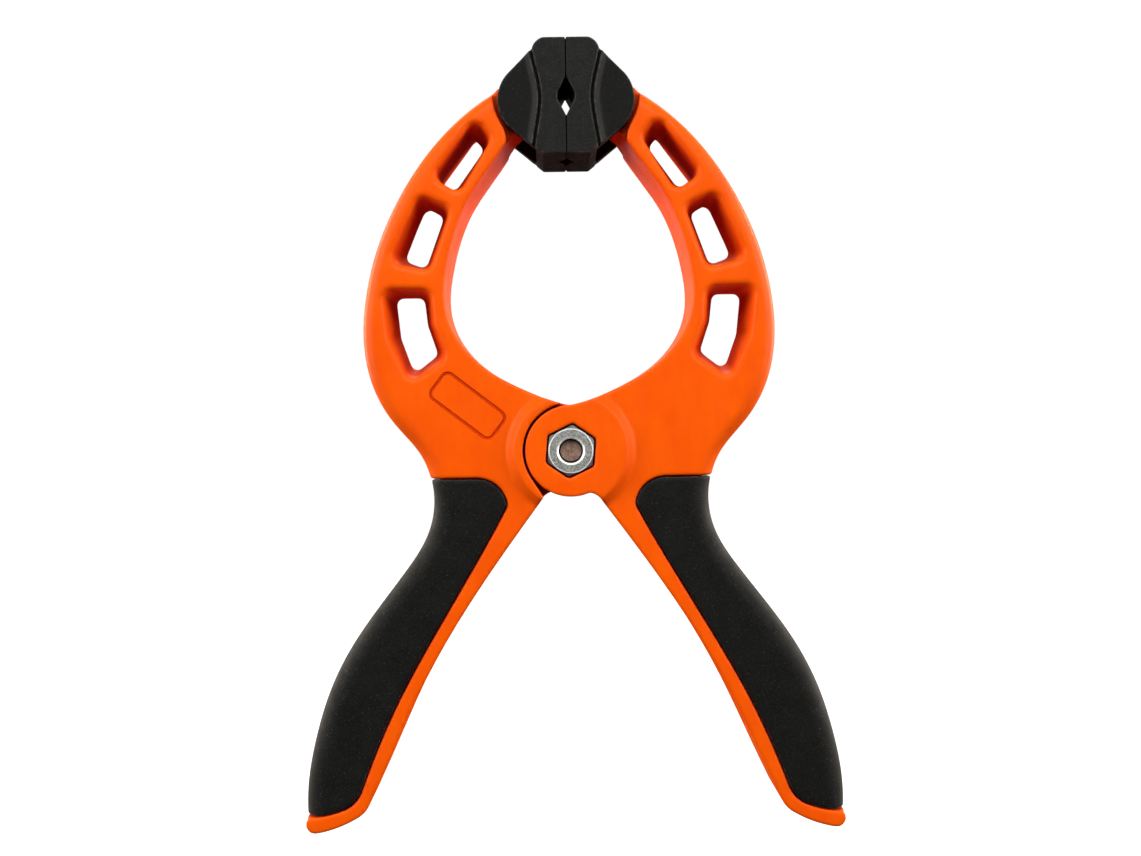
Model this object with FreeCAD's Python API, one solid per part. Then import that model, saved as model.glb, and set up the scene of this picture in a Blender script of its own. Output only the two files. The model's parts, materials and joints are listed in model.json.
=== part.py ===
"""Hand spring clamp: two identical moulded halves on one pivot bolt, closed by a torsion spring.

Millimetres. X runs across the clamp, Y is its depth (the nut side is -Y) and Z is up.
The clamp stands on its two handle ends, so the origin is under the middle of the jaws at Z = 0.
Outlines are written as (x, z) pairs about the pivot centre, for the right half.
The left half is the right half turned by 180 degrees about Z.
"""
import FreeCAD, Part
import math
import os

# overall
PIVOT_HEIGHT = 84.8
HALF_DEPTH = 11.5
BOSS_HALF_DEPTH = 13.4

# pivot stack, measured outwards from the middle plane
SPRING_HALF_GAP = 4.2
INNER_EAR_FACE = 6.6
OUTER_EAR_FACE = 6.8
POCKET_FLOOR = 8.4
EAR_RADIUS = 10.2
EAR_RECESS_RADIUS = 10.7
RECESS_SIDE_ANGLE = 32.0
RECESS_SIDE_LENGTH = 10.0
BOSS_TOP_RADIUS = 12.5
BOSS_FOOT_RADIUS = 14.4
BOLT_RADIUS = 3.0
RUNNING_CLEARANCE = 0.06

# bolt and nut
HEX_ACROSS_FLATS = 10.0
HEX_POCKET_ACROSS_FLATS = 10.8
HEX_TURN = 4.7
HEX_CORNER_CHAMFER = 0.55
HEX_CHAMFER_REACH = 1.1
HEX_RING_INSET = 0.1
NUT_THICKNESS = 4.9
HEAD_THICKNESS = 4.0
BOLT_LENGTH = 20.0
BOLT_TIP_CHAMFER = 0.62
NUT_COUNTERSINK = 0.35

# torsion spring and its bush
WIRE_RADIUS = 1.1
COIL_RADIUS = 7.4
COIL_PITCH = 2.3
COIL_WHOLE_TURNS = 2
SPRING_LEG_LENGTH = 44.0
SPRING_LEG_ANGLE = 56.5
BUSH_RADIUS = 5.8
BUSH_END_GAP = 0.1
CHANNEL_HALF_WIDTH = 3.95
CHANNEL_FLOOR = 8.8
CHANNEL_START = 4.0
CHANNEL_END = 76.0
CHANNEL_OPEN_SIDE = -14.0

# jaw pads
PIN = (9.6, 78.3)
JAW_GAP = 0.02
PAD_BLOCK_HALF_DEPTH = 13.0
PAD_CHEEK_HALF_DEPTH = 12.1
TONGUE_HALF_DEPTH = 8.9
TONGUE_TIP_RADIUS = 3.9
TONGUE_TOP_ANGLE = 72.0
TONGUE_LOW_ANGLE = 217.0
TONGUE_INNER_EDGE = [(13.5, 69.1), (11.6, 71.9)]
TONGUE_ROOT = [(15.2, 81.6), (18.0, 78.6), (17.5, 67.5)]
PAD_SLOT_HALF_DEPTH = 9.2
PAD_SLOT_FLOOR = 6.9
PAD_SLOT_RADIUS = 4.25
TRUNNION_RADIUS = 2.0
TRUNNION_LENGTH = 2.8
GROOVE_DEPTH = 1.9
GROOVE_HALF_HEIGHT = 4.4
GROOVE_HALF_FLAT = 0.75
GROOVE_Z = 79.0
GROOVE_LENGTH = 30.0

# soft grips
GRIP_HALF_DEPTH = 11.8
GRIP_SKIN = 2.4
CORE_HALF_DEPTH = 9.4
GRIP_GROOVE = 0.35

# edge rounding
OUTER_EDGE_RADIUS = 3.4
GRIP_EDGE_RADIUS = 5.0
WINDOW_RIM_RADIUS = 1.3

# how far a cutting shape runs past the surface that it opens, and when two edges count as one
OVERCUT = 1.0
TOLERANCE = 0.01
GRIP_SIDE_ROOM = 10.0
SLAB_SIDE = 200.0

# right half, outer edge from the arm tip down to the handle end
OUTER_EDGE = [
    (16.4, 80.4), (25.3, 73.7), (33.1, 64.8), (38.6, 55.9), (42.6, 46.9), (45.5, 35.8),
    (46.3, 25.8), (44.5, 15.4), (39.6, 6.5), (33.7, -0.7), (31.1, -8.8), (32.2, -17.7),
    (37.4, -26.5), (44.3, -35.5), (50.4, -44.3), (54.9, -53.2), (58.4, -64.2), (60.1, -73.0),
    (60.3, -82.6),
]
HANDLE_EDGE_FIRST = 10
# handle end, from the outer corner to the inner corner
OUTER_CORNER = [(60.3, -82.6), (59.7, -84.2), (58.1, -84.8)]
END_EDGE = [(58.1, -84.8), (53.9, -83.8), (49.0, -81.6)]
INNER_CORNER = [(49.0, -81.6), (47.0, -80.1), (45.8, -78.0)]
# handle inner edge, from the end up to the pivot
HANDLE_INNER_EDGE = [
    (45.8, -78.0), (41.4, -68.5), (35.3, -55.2), (26.7, -39.7), (16.3, -24.2), (7.1, -11.6),
]
EAR_FOOT = [(7.1, -11.6), (5.6, -9.9), (4.15, -9.32)]
# throat of the jaws, from the top of the ear up to the arm tip
THROAT_EDGE = [
    (0.0, 10.2), (3.3, 11.0), (8.6, 13.0), (21.0, 20.4), (26.1, 27.2), (27.8, 33.4),
    (27.3, 41.0), (25.3, 49.2), (22.2, 56.5), (18.7, 61.8), (13.5, 69.1),
]
# shoulder where the full depth of the arm drops to the tongue
SHOULDER = [(13.5, 69.1), (14.1, 72.4), (15.5, 75.4), (16.2, 77.8), (16.4, 80.4)]

# windows in the arm: rim at the faces, throat at the middle plane, corner radii
WINDOWS = [
    ([(41.9, 36.7), (30.7, 36.4), (30.1, 28.3), (27.2, 21.0), (35.8, 15.5), (40.6, 25.6)],
     [(39.6, 35.3), (33.2, 35.3), (32.5, 29.0), (30.2, 22.2), (35.7, 17.9), (38.6, 26.0)]),
    ([(33.3, 57.8), (25.8, 54.6), (30.9, 40.3), (40.3, 42.3)],
     [(32.5, 56.2), (28.4, 53.9), (32.7, 42.1), (37.5, 43.9)]),
    ([(20.1, 74.9), (16.5, 70.1), (23.9, 57.6), (30.3, 61.4)],
     [(21.9, 72.5), (18.9, 69.4), (25.8, 59.7), (29.3, 62.4)]),
]
RIM_CORNER_RADIUS = 2.2
THROAT_CORNER_RADIUS = 1.5

# soft grip boundary: top edge, top corner, long edge, bottom corner, bottom edge
GRIP_TOP = [(34.0, -5.9), (21.3, -5.9)]
GRIP_TOP_CORNER = [(21.3, -5.9), (16.2, -7.9), (14.3, -12.2)]
GRIP_LONG_EDGE = [
    (14.3, -12.2), (19.9, -22.3), (30.6, -40.3), (39.4, -56.1), (45.6, -70.0), (47.7, -75.5),
]
GRIP_LOW_CORNER = [(47.7, -75.5), (49.0, -77.7), (51.2, -79.4)]
GRIP_LOW_EDGE = [(51.2, -79.4), (55.0, -80.6), (64.0, -81.4)]

# jaw pad outline, from the bottom of the gripping face round the lobe to its top
PAD_FOOT = [(5.3, 66.2), (11.7, 71.4)]
PAD_LOBE = [(11.7, 71.4), (15.3, 78.4), (13.1, 84.1)]
PAD_SHOULDER = [(13.1, 84.1), (7.4, 89.8)]
PAD_TOP_CORNER = [(7.4, 89.8), (6.6, 91.1), (5.0, 92.0)]
PAD_WAIST = [(7.8, 93.0), (7.4, 89.2), (5.5, 79.6), (7.0, 67.2), (7.1, 65.0)]


def at(point, y=0.0):
    return FreeCAD.Vector(point[0], y, point[1])


def around(centre, radius, degrees):
    angle = math.radians(degrees)
    return (centre[0] + radius * math.cos(angle), centre[1] + radius * math.sin(angle))


def line(a, b):
    return Part.makeLine(at(a), at(b))


def loop(points):
    """Straight edges from each point to the next and back to the first."""
    return [line(points[i - 1], points[i]) for i in range(len(points))]


def arc(points):
    first, middle, last = points
    return Part.Arc(at(first), at(middle), at(last)).toShape()


def spline(points):
    curve = Part.BSplineCurve()
    curve.interpolate([at(p) for p in points])
    return curve.toShape()


def plate(edges, y_low, y_high):
    wire = Part.Wire(Part.__sortEdges__(edges))
    face = Part.Face(wire)
    face.translate(FreeCAD.Vector(0, y_low, 0))
    return face.extrude(FreeCAD.Vector(0, y_high - y_low, 0))


def rod(radius, y_low, y_high, centre=(0.0, 0.0)):
    return Part.makeCylinder(radius, y_high - y_low, at(centre, y_low), FreeCAD.Vector(0, 1, 0))


def cone(radius_low, radius_high, y_low, y_high):
    return Part.makeCone(radius_low, radius_high, y_high - y_low, at((0, 0), y_low),
                         FreeCAD.Vector(0, 1, 0))


def inset(points, distance):
    """Move each point of an edge to its right-hand side, square to the edge."""
    moved = []
    last = len(points) - 1
    for i, point in enumerate(points):
        before = points[max(i - 1, 0)]
        after = points[min(i + 1, last)]
        along = (after[0] - before[0], after[1] - before[1])
        length = math.hypot(along[0], along[1])
        moved.append((point[0] + along[1] / length * distance,
                      point[1] - along[0] / length * distance))
    return moved


def turned(shape, degrees, centre=(0.0, 0.0)):
    copy = shape.copy()
    copy.rotate(at(centre), FreeCAD.Vector(0, 1, 0), degrees)
    return copy


def other_half(shape):
    copy = shape.copy()
    copy.rotate(FreeCAD.Vector(0, 0, 0), FreeCAD.Vector(0, 0, 1), 180)
    return copy


def rounded_polygon(points, radius, y):
    """Closed wire with the same count of edges for any radius, so that two can be lofted."""
    edges = []
    count = len(points)
    tangents = []
    for i in range(count):
        corner = at(points[i], y)
        to_before = (at(points[i - 1], y) - corner).normalize()
        to_after = (at(points[(i + 1) % count], y) - corner).normalize()
        half_angle = to_before.getAngle(to_after) / 2
        reach = radius / math.tan(half_angle)
        middle = corner + (to_before + to_after).normalize() * (radius / math.sin(half_angle) - radius)
        tangents.append((corner + to_before * reach, middle, corner + to_after * reach))
    for i in range(count):
        start, middle, end = tangents[i]
        edges.append(Part.Arc(start, middle, end).toShape())
        edges.append(Part.makeLine(end, tangents[(i + 1) % count][0]))
    return Part.Wire(edges)


def full_outline():
    """Right half with its ear disc, as seen from the front."""
    ear_arc = arc([EAR_FOOT[-1], (-EAR_RADIUS, 0.0), THROAT_EDGE[0]])
    return [spline(THROAT_EDGE), spline(SHOULDER), spline(OUTER_EDGE), arc(OUTER_CORNER),
            arc(END_EDGE), arc(INNER_CORNER), spline(HANDLE_INNER_EDGE), spline(EAR_FOOT), ear_arc]


def round_long_edges(solid, half_depth, radius, edge_points):
    """Round the front and back edge that follows edge_points."""
    middle = edge_points[len(edge_points) // 2]
    chosen = []
    for edge in solid.Edges:
        for y in (-half_depth, half_depth):
            probe = Part.Vertex(at(middle, y))
            if edge.distToShape(probe)[0] < TOLERANCE:
                chosen.append(edge)
    return solid.makeFillet(radius, chosen)


def boss_envelope():
    """Flat slab with a raised conical boss on both faces."""
    low = FreeCAD.Vector(-SLAB_SIDE / 2, -HALF_DEPTH, -SLAB_SIDE / 2)
    slab = Part.makeBox(SLAB_SIDE, 2 * HALF_DEPTH, SLAB_SIDE, low)
    back = cone(BOSS_FOOT_RADIUS, BOSS_TOP_RADIUS, HALF_DEPTH, BOSS_HALF_DEPTH)
    front = cone(BOSS_TOP_RADIUS, BOSS_FOOT_RADIUS, -BOSS_HALF_DEPTH, -HALF_DEPTH)
    return slab.fuse([back, front])


def ear_recess(y_low, y_high):
    """Room for the other half's ear and for its swing."""
    disc = rod(EAR_RECESS_RADIUS, y_low, y_high)
    corner = around((0.0, 0.0), EAR_RECESS_RADIUS, -RECESS_SIDE_ANGLE)
    end = around(corner, RECESS_SIDE_LENGTH, -90.0 - RECESS_SIDE_ANGLE)
    under = (-EAR_RECESS_RADIUS, end[1])
    side = (-EAR_RECESS_RADIUS, 0.0)
    wedge = plate(loop([(0.0, 0.0), corner, end, under, side]), y_low, y_high)
    return disc.fuse(wedge)


def tongue():
    """Thin end of the arm that the jaw pad straddles."""
    tip = rod(TONGUE_TIP_RADIUS, -TONGUE_HALF_DEPTH, TONGUE_HALF_DEPTH, PIN)
    top = around(PIN, TONGUE_TIP_RADIUS, TONGUE_TOP_ANGLE)
    low = around(PIN, TONGUE_TIP_RADIUS, TONGUE_LOW_ANGLE)
    web = plate(loop([PIN, top] + TONGUE_ROOT + TONGUE_INNER_EDGE + [low]),
                -TONGUE_HALF_DEPTH, TONGUE_HALF_DEPTH)
    return tip.fuse(web)


def window_cutter(rim, throat):
    """Opening that narrows from both faces to the middle plane."""
    cutters = []
    for side in (-1, 1):
        outer = rounded_polygon(rim, RIM_CORNER_RADIUS, side * HALF_DEPTH)
        inner = rounded_polygon(throat, THROAT_CORNER_RADIUS, 0.0)
        cutters.append(Part.makeLoft([inner, outer], True, True))
        cutters.append(Part.Face(outer).extrude(FreeCAD.Vector(0, side * OVERCUT, 0)))
    return cutters[0].fuse(cutters[1:])


def lies_on(edge, wire):
    return all(wire.distToShape(Part.Vertex(point))[0] < TOLERANCE for point in edge.discretize(3))


def round_window_rims(solid):
    """Soften the rims on both faces of the arm."""
    rims = [rounded_polygon(rim, RIM_CORNER_RADIUS, y)
            for rim, _ in WINDOWS for y in (-HALF_DEPTH, HALF_DEPTH)]
    flat_edges = [edge for edge in solid.Edges if edge.BoundBox.YLength < TOLERANCE]
    chosen = [edge for edge in flat_edges if any(lies_on(edge, rim) for rim in rims)]
    return solid.makeFillet(WINDOW_RIM_RADIUS, chosen)


def spring_channel():
    """Trough along the inside of the handle that takes a leg of the spring."""
    angle = math.radians(SPRING_LEG_ANGLE)
    along = (math.cos(angle), -math.sin(angle))
    outward = (math.sin(angle), math.cos(angle))

    def place(distance, offset):
        return (along[0] * distance + outward[0] * offset, along[1] * distance + outward[1] * offset)

    corners = [place(CHANNEL_START, CHANNEL_FLOOR), place(CHANNEL_END, CHANNEL_FLOOR),
               place(CHANNEL_END, CHANNEL_OPEN_SIDE), place(CHANNEL_START, CHANNEL_OPEN_SIDE)]
    return plate(loop(corners), -CHANNEL_HALF_WIDTH, CHANNEL_HALF_WIDTH)


def grip_region(gap, half_depth):
    """Prism over the grip's own area. A gap above zero draws the boundary in."""
    top = inset(GRIP_TOP, -gap)
    long_edge = inset(GRIP_LONG_EDGE, -gap)
    low_edge = inset(GRIP_LOW_EDGE, -gap)
    top_middle = inset(GRIP_TOP_CORNER, -gap)[1]
    low_middle = inset(GRIP_LOW_CORNER, -gap)[1]
    top_corner = [top[-1], top_middle, long_edge[0]]
    low_corner = [long_edge[-1], low_middle, low_edge[0]]
    beyond = OUTER_CORNER[0][0] + GRIP_SIDE_ROOM
    beyond_low = (beyond, low_edge[-1][1])
    beyond_top = (beyond, top[0][1])
    edges = [line(top[0], top[1]), arc(top_corner), spline(long_edge), arc(low_corner), spline(low_edge),
             line(low_edge[-1], beyond_low), line(beyond_low, beyond_top), line(beyond_top, top[0])]
    return plate(edges, -half_depth, half_depth)


def handle_blank(half_depth, skin, edge_radius):
    """Handle with its outer edge drawn in by skin and rounded by edge_radius."""
    outer = inset(OUTER_EDGE[HANDLE_EDGE_FIRST - 2:], skin)
    start = outer[0]
    end = outer[-1]
    below = -PIVOT_HEIGHT - OVERCUT
    under = (end[0], below)
    inner_low = (0.0, below)
    inner_top = (0.0, start[1])
    blank = plate([spline(outer), line(end, under), line(under, inner_low), line(inner_low, inner_top),
                   line(inner_top, start)], -half_depth, half_depth)
    if edge_radius > 0:
        blank = round_long_edges(blank, half_depth, edge_radius, outer)
    return blank


def hex_prism(across_flats, y_low, y_high):
    corner_radius = across_flats / math.sqrt(3)
    corners = [around((0.0, 0.0), corner_radius, 90.0 + 60.0 * i) for i in range(6)]
    return turned(plate(loop(corners), y_low, y_high), HEX_TURN)


def frame_half():
    """One moulded half: arm, two ears, handle core and end cap."""
    blank = plate(full_outline(), -BOSS_HALF_DEPTH, BOSS_HALF_DEPTH)
    body = blank.common(boss_envelope())
    body = round_long_edges(body, HALF_DEPTH, OUTER_EDGE_RADIUS, OUTER_EDGE)
    for rim, throat in WINDOWS:
        body = body.cut(window_cutter(rim, throat))
    body = round_window_rims(body)
    over = BOSS_HALF_DEPTH + OVERCUT
    body = body.cut(ear_recess(-OUTER_EAR_FACE, SPRING_HALF_GAP))
    body = body.cut(ear_recess(INNER_EAR_FACE, over))
    body = body.cut(spring_channel())
    pocket = grip_region(0.0, over)
    core = handle_blank(CORE_HALF_DEPTH, GRIP_SKIN, 0.0)
    body = body.cut(pocket.cut(core))
    body = body.fuse(tongue())
    hole = rod(BOLT_RADIUS + RUNNING_CLEARANCE, -over, over)
    nut_pocket = hex_prism(HEX_POCKET_ACROSS_FLATS, -over, -POCKET_FLOOR)
    trunnion_hole = rod(TRUNNION_RADIUS + RUNNING_CLEARANCE, -over, over, PIN)
    body = body.cut(hole.fuse([nut_pocket, trunnion_hole]))
    return body.removeSplitter()


def grip():
    """Soft sleeve moulded over the front, back and outer side of the handle core."""
    skin = handle_blank(GRIP_HALF_DEPTH, 0.0, GRIP_EDGE_RADIUS)
    core = handle_blank(CORE_HALF_DEPTH, GRIP_SKIN, 0.0)
    area = grip_region(GRIP_GROOVE, GRIP_HALF_DEPTH + OVERCUT)
    return skin.common(area).cut(core).removeSplitter()


def pad_outline():
    face_low = (JAW_GAP, PAD_FOOT[0][1])
    face_top = (JAW_GAP, PAD_TOP_CORNER[-1][1])
    return [line(face_low, PAD_FOOT[0]), line(PAD_FOOT[0], PAD_FOOT[1]), arc(PAD_LOBE),
            line(PAD_SHOULDER[0], PAD_SHOULDER[1]), arc(PAD_TOP_CORNER),
            line(PAD_TOP_CORNER[-1], face_top), line(face_top, face_low)]


def groove(along_y):
    """Six-sided channel across the gripping face, along Y or along Z."""
    profile = [(-OVERCUT, -GROOVE_HALF_HEIGHT), (0.0, -GROOVE_HALF_HEIGHT),
               (GROOVE_DEPTH, -GROOVE_HALF_FLAT), (GROOVE_DEPTH, GROOVE_HALF_FLAT),
               (0.0, GROOVE_HALF_HEIGHT), (-OVERCUT, GROOVE_HALF_HEIGHT)]
    channel = plate(loop(profile), -GROOVE_LENGTH / 2, GROOVE_LENGTH / 2)
    if not along_y:
        channel.rotate(FreeCAD.Vector(0, 0, 0), FreeCAD.Vector(1, 0, 0), 90)
    channel.translate(at((JAW_GAP, GROOVE_Z)))
    return channel


def jaw_pad():
    """Swivelling pad: a full-depth gripping block and two cheeks with inward trunnions."""
    outline = pad_outline()
    cheeks = plate(outline, -PAD_CHEEK_HALF_DEPTH, PAD_CHEEK_HALF_DEPTH)
    full = plate(outline, -PAD_BLOCK_HALF_DEPTH, PAD_BLOCK_HALF_DEPTH)
    waist_low = PAD_WAIST[-1]
    waist_top = PAD_WAIST[0]
    behind_low = (-OVERCUT, waist_low[1])
    behind_top = (-OVERCUT, waist_top[1])
    block_edges = [spline(PAD_WAIST), line(waist_low, behind_low), line(behind_low, behind_top),
                   line(behind_top, waist_top)]
    block = full.common(plate(block_edges, -PAD_BLOCK_HALF_DEPTH, PAD_BLOCK_HALF_DEPTH))
    body = cheeks.fuse(block)
    slot_back = PAD_LOBE[1][0] + OVERCUT
    slot_corners = [(PAD_SLOT_FLOOR, waist_low[1]), (slot_back, waist_low[1]),
                    (slot_back, waist_top[1]), (PAD_SLOT_FLOOR, waist_top[1])]
    slot = plate(loop(slot_corners), -PAD_SLOT_HALF_DEPTH, PAD_SLOT_HALF_DEPTH)
    tip_room = rod(PAD_SLOT_RADIUS, -PAD_SLOT_HALF_DEPTH, PAD_SLOT_HALF_DEPTH, PIN)
    body = body.cut(slot.fuse([tip_room, groove(True), groove(False)]))
    trunnion_end = PAD_SLOT_HALF_DEPTH - TRUNNION_LENGTH
    body = body.fuse(rod(TRUNNION_RADIUS, trunnion_end, PAD_CHEEK_HALF_DEPTH, PIN))
    body = body.fuse(rod(TRUNNION_RADIUS, -PAD_CHEEK_HALF_DEPTH, -trunnion_end, PIN))
    return body.removeSplitter()


def hex_corners(y_low, y_high, chamfer_front, chamfer_back):
    """Body of revolution that trims the corners of a hexagon."""
    flat = HEX_ACROSS_FLATS / 2
    corner = flat + HEX_CHAMFER_REACH
    front = y_low + (HEX_CORNER_CHAMFER if chamfer_front else 0.0)
    back = y_high - (HEX_CORNER_CHAMFER if chamfer_back else 0.0)
    cones = []
    if chamfer_front:
        cones.append(cone(flat - HEX_RING_INSET, corner, y_low, front))
    if chamfer_back:
        cones.append(cone(corner, flat - HEX_RING_INSET, back, y_high))
    return rod(corner, front, back).fuse(cones)


def pivot_nut():
    face = -POCKET_FLOOR - NUT_THICKNESS
    bore_radius = BOLT_RADIUS + RUNNING_CLEARANCE
    body = hex_prism(HEX_ACROSS_FLATS, face, -POCKET_FLOOR)
    body = body.common(hex_corners(face, -POCKET_FLOOR, True, True))
    sink = cone(bore_radius + NUT_COUNTERSINK, bore_radius, face, face + NUT_COUNTERSINK)
    return body.cut(rod(bore_radius, face - OVERCUT, 0.0).fuse(sink))


def pivot_bolt():
    """Hex bolt: its head sits in the pocket at the back, its tip ends inside the nut."""
    head_face = POCKET_FLOOR + HEAD_THICKNESS
    head = other_half(hex_prism(HEX_ACROSS_FLATS, -head_face, -POCKET_FLOOR))
    head = head.common(hex_corners(POCKET_FLOOR, head_face, False, True))
    tip = POCKET_FLOOR - BOLT_LENGTH
    shank = rod(BOLT_RADIUS, tip + BOLT_TIP_CHAMFER, POCKET_FLOOR)
    point = cone(BOLT_RADIUS - BOLT_TIP_CHAMFER, BOLT_RADIUS, tip, tip + BOLT_TIP_CHAMFER)
    return head.fuse([shank, point]).removeSplitter()


def spring_bush():
    half = SPRING_HALF_GAP - BUSH_END_GAP
    return rod(BUSH_RADIUS, -half, half).cut(rod(BOLT_RADIUS + RUNNING_CLEARANCE, -half, half))


def torsion_spring():
    """Coil about the pivot with one straight leg down each handle."""
    leg = math.radians(SPRING_LEG_ANGLE)
    leave_right = math.pi / 2 - leg
    turns = COIL_WHOLE_TURNS + (math.pi - 2 * leave_right) / (2 * math.pi)
    height = COIL_PITCH * turns
    helix = Part.makeHelix(COIL_PITCH, height, COIL_RADIUS)
    start = FreeCAD.Vector(COIL_RADIUS, 0, 0)
    profile = Part.Wire(Part.makeCircle(WIRE_RADIUS, start, FreeCAD.Vector(0, 1, 0)))
    coil = Part.Wire(helix.Edges).makePipeShell([profile], True, True)
    coil.translate(FreeCAD.Vector(0, 0, -height / 2))
    coil.rotate(FreeCAD.Vector(0, 0, 0), FreeCAD.Vector(1, 0, 0), 90)
    coil.rotate(FreeCAD.Vector(0, 0, 0), FreeCAD.Vector(0, 1, 0), -math.degrees(leave_right))
    solids = [Part.Solid(coil) if coil.ShapeType == "Shell" else coil]
    for side in (1, -1):
        foot = (side * math.cos(leave_right) * COIL_RADIUS, math.sin(leave_right) * COIL_RADIUS)
        y = side * height / 2
        direction = FreeCAD.Vector(side * math.cos(leg), 0, -math.sin(leg))
        solids.append(Part.makeCylinder(WIRE_RADIUS, SPRING_LEG_LENGTH, at(foot, y), direction))
    return solids[0].fuse(solids[1:])


def save(name, shape):
    placed = shape.copy()
    placed.translate(FreeCAD.Vector(0, 0, PIVOT_HEIGHT))
    placed.exportStep("parts/" + name + ".step")


def main():
    os.makedirs("parts", exist_ok=True)
    for name, shape in (("frame", frame_half()), ("grip", grip()), ("jaw_pad", jaw_pad())):
        save("right_" + name, shape)
        save("left_" + name, other_half(shape))
    save("pivot_bolt", pivot_bolt())
    save("pivot_nut", pivot_nut())
    save("spring_bush", spring_bush())
    save("torsion_spring", torsion_spring())


main()
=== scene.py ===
import json
import math

import bmesh
import bpy
from mathutils import Matrix, Vector
from mathutils.bvhtree import BVHTree


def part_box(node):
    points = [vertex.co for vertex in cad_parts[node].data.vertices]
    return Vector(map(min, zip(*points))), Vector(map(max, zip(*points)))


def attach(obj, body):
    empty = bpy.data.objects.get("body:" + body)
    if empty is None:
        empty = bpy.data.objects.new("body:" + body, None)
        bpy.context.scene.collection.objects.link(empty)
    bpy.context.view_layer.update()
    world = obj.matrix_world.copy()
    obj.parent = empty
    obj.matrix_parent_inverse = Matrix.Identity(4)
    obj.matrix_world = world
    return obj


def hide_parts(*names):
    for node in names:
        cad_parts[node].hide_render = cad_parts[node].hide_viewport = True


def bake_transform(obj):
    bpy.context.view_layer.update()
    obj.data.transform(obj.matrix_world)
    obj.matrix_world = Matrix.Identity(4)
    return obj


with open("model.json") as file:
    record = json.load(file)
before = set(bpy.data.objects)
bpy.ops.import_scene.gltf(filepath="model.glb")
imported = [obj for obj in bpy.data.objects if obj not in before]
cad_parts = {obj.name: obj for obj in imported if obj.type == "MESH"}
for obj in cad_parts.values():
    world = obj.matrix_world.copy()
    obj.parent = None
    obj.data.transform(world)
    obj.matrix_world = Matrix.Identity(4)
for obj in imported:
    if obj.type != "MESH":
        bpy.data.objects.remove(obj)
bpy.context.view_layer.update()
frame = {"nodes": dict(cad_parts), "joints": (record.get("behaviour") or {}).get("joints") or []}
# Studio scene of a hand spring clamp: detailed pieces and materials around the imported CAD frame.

MM = 0.001
JOINTS = {joint["name"]: joint for joint in frame["joints"]}
PIVOT = Vector(JOINTS["main_pivot"]["pos_m"])
FRAME_LOW, FRAME_HIGH = (Vector(corner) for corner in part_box("right_frame"))
PAD_HIGH = Vector(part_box("right_jaw_pad")[1])
NUT_LOW, NUT_HIGH = (Vector(corner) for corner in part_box("pivot_nut"))
BOLT_LOW, BOLT_HIGH = (Vector(corner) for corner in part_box("pivot_bolt"))
BUSH_LOW, BUSH_HIGH = (Vector(corner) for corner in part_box("spring_bush"))

# camera: straight on to the nut side, from close by
IMAGE_WIDTH = 1141
PIXELS_PER_MM = 4.51
CAMERA_DISTANCE = 322 * MM
CAMERA_SIDE = -3.2 * MM
CAMERA_RISE = 8.0 * MM
CAMERA_ROLL = math.radians(0.8)
CAMERA_SHIFT = (0.0127, -0.0114)
SENSOR_WIDTH = 36.0

# studio: the world is seen as white, and lights the clamp most from straight behind
WORLD_SEEN = 1.02
WORLD_FADE = (0.965, 0.99)
WORLD_STRENGTH = (0.06, 0.9)
FLOOR_REACH = 4.0
FLOOR_SEEN_ALBEDO = 0.25
FLOOR_LIGHTING_ALBEDO = 0.05
FLOOR_GLOW = 1.0
FLOOR_ROOM = 1.0 * MM
WHITE = (1.0, 1.0, 1.0)
WARM_WHITE = (1.0, 0.9, 0.76)
# each lamp's name, place and size in metres, power in watts, and colour
LAMPS = (
    ("key_light", (0.0, -0.75, 0.85), (1.0, 0.6), 8.9, WHITE),
    ("left_light", (-0.9, -0.38, 0.32), (0.5, 0.8), 7.8, WHITE),
    ("right_light", (0.9, -0.38, 0.32), (0.5, 0.8), 7.8, WHITE),
    ("back_light", (0.0, 0.75, 0.85), (1.0, 0.6), 5.0, WHITE),
    ("left_back_light", (-0.85, 0.42, 0.25), (0.5, 0.8), 11.0, WARM_WHITE),
    ("right_back_light", (0.85, 0.42, 0.25), (0.5, 0.8), 11.0, WARM_WHITE),
)

# materials: ranges of noise that make broad and narrower patches, and rays that look for hollows
BROAD = (0.3, 0.7)
MIDDLE = (0.35, 0.65)
HOLLOW_SAMPLES = 8

# moulded pieces: face size of the even mesh, smoothing passes, and the most triangles left
FRAME_MESH = (0.34 * MM, 5, 150000)
GRIP_MESH = (0.34 * MM, 4, 60000)
PAD_MESH = (0.23 * MM, 3, 190000)
WELD_DISTANCE = 0.002 * MM
SMOOTH_FACTOR = 0.5

# sharpest angles that are still shaded smooth, in degrees
MOULDED_CREASE = 50
MACHINED_CREASE = 28
BUSH_CREASE = 35

# cheek of a jaw pad beside its raised block: a narrow groove, then a lip that falls away to the flat
GROOVE_WIDTH = 0.5 * MM
GROOVE_DEPTH = 0.3 * MM
LIP_RISE = 0.6 * MM
LIP_START = 0.8 * MM
LIP_END = 3.4 * MM
BLOCK_FACE_BAND = 0.05 * MM
CHEEK_DEPTH = 12.1 * MM
CHEEK_BAND = 0.3 * MM

# seam where the two gripping faces meet
FACE_BAND = 0.12 * MM
SEAM_WIDTH = 0.32 * MM
SEAM_DEPTH = 0.9 * MM

# blank plaque on the arm, about the pivot
PLAQUE_CENTRE = (-22.9 * MM, 10.3 * MM)
PLAQUE_SIZE = (17.0 * MM, 6.9 * MM)
PLAQUE_CORNER = 1.5 * MM
PLAQUE_SLOPE = math.radians(37.7)
PLAQUE_GROOVE_WIDTH = 0.7 * MM
PLAQUE_GROOVE_DEPTH = 0.42 * MM
HALF_DEPTH = 11.5 * MM

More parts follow.
